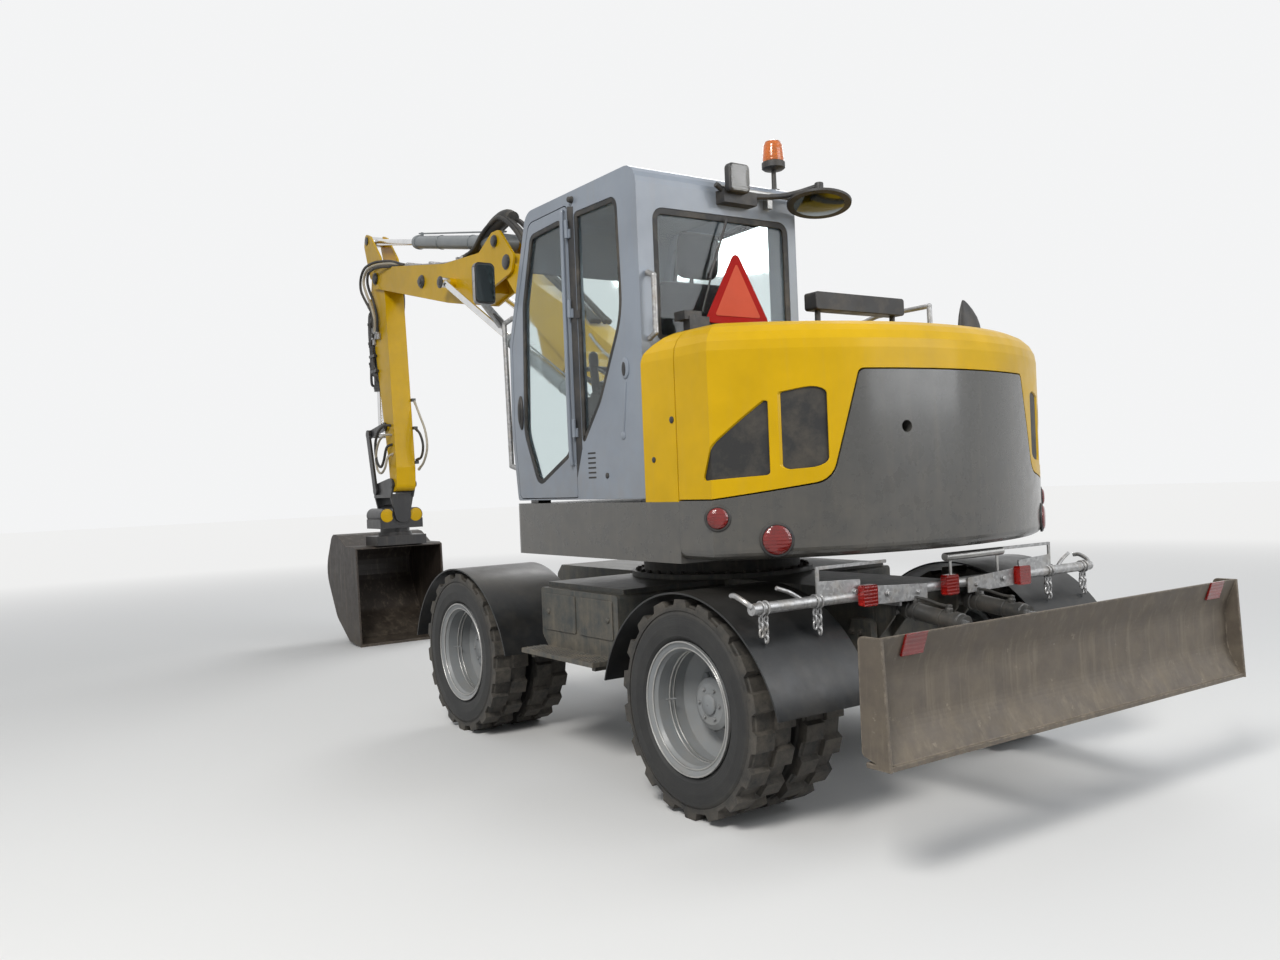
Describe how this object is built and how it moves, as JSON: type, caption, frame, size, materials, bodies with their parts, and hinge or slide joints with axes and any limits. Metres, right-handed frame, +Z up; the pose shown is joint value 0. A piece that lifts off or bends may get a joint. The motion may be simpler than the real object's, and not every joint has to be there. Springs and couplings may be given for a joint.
{
  "type": "wheeled excavator",
  "caption": "Wheeled excavator with twin tyres, closed cab, rear dozer blade, two-piece boom, stick, tilting and rotating bucket head and open bucket, each on its real joint.",
  "frame": {"origin": "middle of the whole machine on the ground, with the arm as it is parked", "axes": "+X forward along the boom, +Y to the cab's side (left), +Z up"},
  "size_m": [8.2024, 2.444, 4.0045],
  "materials": {
    "chassis_paint": "satin",
    "cast_dark": "matt",
    "fender_black": "matt",
    "tube_silver": "satin",
    "lamp_red": "gloss",
    "tyre": "matt",
    "rim_silver": "satin",
    "blade_steel": "worn",
    "barrel_grey": "satin",
    "rod_chrome": "polished",
    "grey_gloss": "gloss",
    "yellow": "gloss",
    "grille_black": "matt",
    "engine_grey": "matt",
    "cab_paint": "gloss",
    "glass": "clear",
    "plastic_black": "matt",
    "seat_fabric": "woven",
    "lamp_chrome": "polished",
    "amber": "gloss",
    "triangle_red": "gloss",
    "link_black": "satin",
    "bucket_steel": "worn"
  },
  "bodies": {
    "undercarriage": {"chassis_frame": "chassis_paint", "slew_ring": "cast_dark", "side_boxes": "chassis_paint", "rear_fenders": "fender_black", "front_axle": "cast_dark", "rear_axle": "cast_dark", "tail_bar": "tube_silver", "tail_lamps": "lamp_red"},
    "knuckle_left": {"knuckle_left": "cast_dark", "fender_front_left": "fender_black"},
    "knuckle_right": {"knuckle_right": "cast_dark", "fender_front_right": "fender_black"},
    "wheels_front_left": {"tyres_front_left": "tyre", "rims_front_left": "rim_silver"},
    "wheels_front_right": {"tyres_front_right": "tyre", "rims_front_right": "rim_silver"},
    "wheels_rear_left": {"tyres_rear_left": "tyre", "rims_rear_left": "rim_silver"},
    "wheels_rear_right": {"tyres_rear_right": "tyre", "rims_rear_right": "rim_silver"},
    "blade": {"dozer_blade": "blade_steel"},
    "blade_barrel": {"blade_barrels": "barrel_grey"},
    "blade_rod": {"blade_rods": "rod_chrome"},
    "upper_structure": {"platform": "grey_gloss", "counterweight": "grey_gloss", "hood_front": "yellow", "right_cover": "yellow", "engine_block": "engine_grey", "cab_frame": "cab_paint", "cab_glass": "glass", "seat_base": "plastic_black", "seat_cushion": "seat_fabric", "cab_controls": "plastic_black", "handrails": "plastic_black", "roof_lamps": "lamp_chrome", "beacon": "amber", "warning_triangle": "triangle_red"},
    "bonnet": {"bonnet": "yellow", "hood_grilles": "grille_black"},
    "door": {"cab_door": "cab_paint", "door_glass": "glass"},
    "lower_boom": {"lower_boom": "yellow"},
    "lift_barrel": {"lift_barrel": "barrel_grey"},
    "lift_rod": {"lift_rod": "rod_chrome"},
    "upper_boom": {"upper_boom": "yellow"},
    "adjust_barrel": {"adjust_barrels": "barrel_grey"},
    "adjust_rod": {"adjust_rods": "rod_chrome"},
    "stick": {"stick": "yellow"},
    "stick_barrel": {"stick_barrel": "barrel_grey"},
    "stick_rod": {"stick_rod": "rod_chrome"},
    "bucket_barrel": {"bucket_barrel": "barrel_grey"},
    "bucket_rod": {"bucket_rod": "rod_chrome"},
    "rocker": {"rocker": "link_black"},
    "bucket_link": {"bucket_link": "link_black"},
    "tilt_head": {"tilt_head": "link_black"},
    "tilt_body": {"tilt_body": "link_black"},
    "rotor": {"rotor_hitch": "link_black", "bucket": "bucket_steel"}
  },
  "joints": [
    {"name": "slew", "type": "hinge", "parent": "undercarriage", "child": "upper_structure", "pos_m": [-1.754, 0, 1.045], "axis": [0, 0, 1], "continuous": true},
    {"name": "steer_left", "type": "hinge", "parent": "undercarriage", "child": "knuckle_left", "pos_m": [-0.6215, 0.741, 0.475], "axis": [0, 0, 1], "range_deg": [-24, 24]},
    {"name": "steer_right", "type": "hinge", "parent": "undercarriage", "child": "knuckle_right", "pos_m": [-0.6215, -0.741, 0.475], "axis": [0, 0, 1], "range_deg": [-24, 24]},
    {"name": "spin_front_left", "type": "hinge", "parent": "knuckle_left", "child": "wheels_front_left", "pos_m": [-0.6215, 0.931, 0.475], "axis": [0, 1, 0], "continuous": true},
    {"name": "spin_front_right", "type": "hinge", "parent": "knuckle_right", "child": "wheels_front_right", "pos_m": [-0.6215, -0.931, 0.475], "axis": [0, 1, 0], "continuous": true},
    {"name": "spin_rear_left", "type": "hinge", "parent": "undercarriage", "child": "wheels_rear_left", "pos_m": [-2.8865, 0.931, 0.475], "axis": [0, 1, 0], "continuous": true},
    {"name": "spin_rear_right", "type": "hinge", "parent": "undercarriage", "child": "wheels_rear_right", "pos_m": [-2.8865, -0.931, 0.475], "axis": [0, 1, 0], "continuous": true},
    {"name": "blade_lift", "type": "hinge", "parent": "undercarriage", "child": "blade", "pos_m": [-3.154, 0, 0.6], "axis": [0, -1, 0], "range_deg": [0, 36]},
    {"name": "blade_barrel_swing", "type": "hinge", "parent": "undercarriage", "child": "blade_barrel", "pos_m": [-3.254, 0, 0.86], "axis": [0, 1, 0], "range_deg": [-36.4, 0]},
    {"name": "blade_rod_slide", "type": "slide", "parent": "blade_barrel", "child": "blade_rod", "axis": [-0.9902, 0, -0.1395], "range_m": [0, 0.17497]},
    {"name": "door_swing", "type": "hinge", "parent": "upper_structure", "child": "door", "pos_m": [-2, 1.112, 2.1], "axis": [0, 0, 1], "range_deg": [0, 165]},
    {"name": "bonnet_lift", "type": "hinge", "parent": "upper_structure", "child": "bonnet", "pos_m": [-2.869, 0, 2.146], "axis": [0, 1, 0], "range_deg": [0, 55]},
    {"name": "boom_lift", "type": "hinge", "parent": "upper_structure", "child": "lower_boom", "pos_m": [-1.554, -0.05, 1.6], "axis": [0, -1, 0], "range_deg": [-48, 32]},
    {"name": "lift_barrel_swing", "type": "hinge", "parent": "upper_structure", "child": "lift_barrel", "pos_m": [-1.254, -0.05, 1.295], "axis": [0, 1, 0], "range_deg": [-35.7, 53.3]},
    {"name": "lift_rod_slide", "type": "slide", "parent": "lift_barrel", "child": "lift_rod", "axis": [0.8067, 0, 0.5909], "range_m": [-0.31915, 0.21343]},
    {"name": "boom_adjust", "type": "hinge", "parent": "lower_boom", "child": "upper_boom", "pos_m": [0.616, -0.05, 3.17], "axis": [0, 1, 0], "range_deg": [-10, 50]},
    {"name": "adjust_barrel_swing", "type": "hinge", "parent": "lower_boom", "child": "adjust_barrel", "pos_m": [-0.744, -0.05, 1.905], "axis": [0, 1, 0], "range_deg": [-3.28, 14.42]},
    {"name": "adjust_rod_slide", "type": "slide", "parent": "adjust_barrel", "child": "adjust_rod", "axis": [0.8753, 0, 0.4835], "range_m": [-0.54101, 0.1098]},
    {"name": "stick_swing", "type": "hinge", "parent": "upper_boom", "child": "stick", "pos_m": [3.296, -0.05, 3.52], "axis": [0, 1, 0], "range_deg": [-80, 28]},
    {"name": "stick_barrel_swing", "type": "hinge", "parent": "upper_boom", "child": "stick_barrel", "pos_m": [0.791, -0.05, 3.365], "axis": [0, 1, 0], "range_deg": [-4.62, 1.94]},
    {"name": "stick_rod_slide", "type": "slide", "parent": "stick_barrel", "child": "stick_rod", "axis": [0.9792, 0, 0.2029], "range_m": [-0.62468, 0.21994]},
    {"name": "bucket_curl", "type": "hinge", "parent": "stick", "child": "tilt_head", "pos_m": [3.116, -0.05, 1.526], "axis": [0, -1, 0], "range_deg": [-60, 65]},
    {"name": "rocker_swing", "type": "hinge", "parent": "stick", "child": "rocker", "pos_m": [3.256, -0.05, 2.086], "axis": [0, 1, 0], "range_deg": [-66, 61]},
    {"name": "link_swing", "type": "hinge", "parent": "rocker", "child": "bucket_link", "pos_m": [3.6323, -0.05, 2.03311], "axis": [0, 1, 0], "range_deg": [-61, 66]},
    {"name": "bucket_barrel_swing", "type": "hinge", "parent": "stick", "child": "bucket_barrel", "pos_m": [3.626, -0.05, 3.31], "axis": [0, 1, 0], "range_deg": [-0.87, 0.9]},
    {"name": "bucket_rod_slide", "type": "slide", "parent": "bucket_barrel", "child": "bucket_rod", "axis": [0.0049, 0, -1], "range_m": [-0.38189, 0.35267]},
    {"name": "head_tilt", "type": "hinge", "parent": "tilt_head", "child": "tilt_body", "pos_m": [3.36915, -0.05, 1.236], "axis": [1, 0, 0], "range_deg": [-40, 40]},
    {"name": "head_rotate", "type": "hinge", "parent": "tilt_body", "child": "rotor", "pos_m": [3.36915, -0.05, 1.0657], "axis": [0, 0, 1], "continuous": true}
  ],
  "couplings": [
    {"joint": "steer_right", "follows": "steer_left", "ratio": 1},
    {"joint": "blade_barrel_swing", "follows": "blade_lift", "ratio": -0.99723},
    {"joint": "blade_rod_slide", "follows": "blade_lift", "m_per_rad": 0.27529},
    {"joint": "lift_barrel_swing", "follows": "boom_lift", "ratio": -1.1001},
    {"joint": "lift_rod_slide", "follows": "boom_lift", "m_per_rad": 0.37857},
    {"joint": "adjust_barrel_swing", "follows": "boom_adjust", "ratio": 0.27841},
    {"joint": "adjust_rod_slide", "follows": "boom_adjust", "m_per_rad": -0.61766},
    {"joint": "stick_barrel_swing", "follows": "stick_swing", "ratio": 0.05151},
    {"joint": "stick_rod_slide", "follows": "stick_swing", "m_per_rad": 0.44596},
    {"joint": "rocker_swing", "follows": "bucket_curl", "ratio": -1},
    {"joint": "link_swing", "follows": "bucket_curl", "ratio": 1},
    {"joint": "bucket_barrel_swing", "follows": "bucket_curl", "ratio": 0.006207},
    {"joint": "bucket_rod_slide", "follows": "bucket_curl", "m_per_rad": -0.33487}
  ]
}
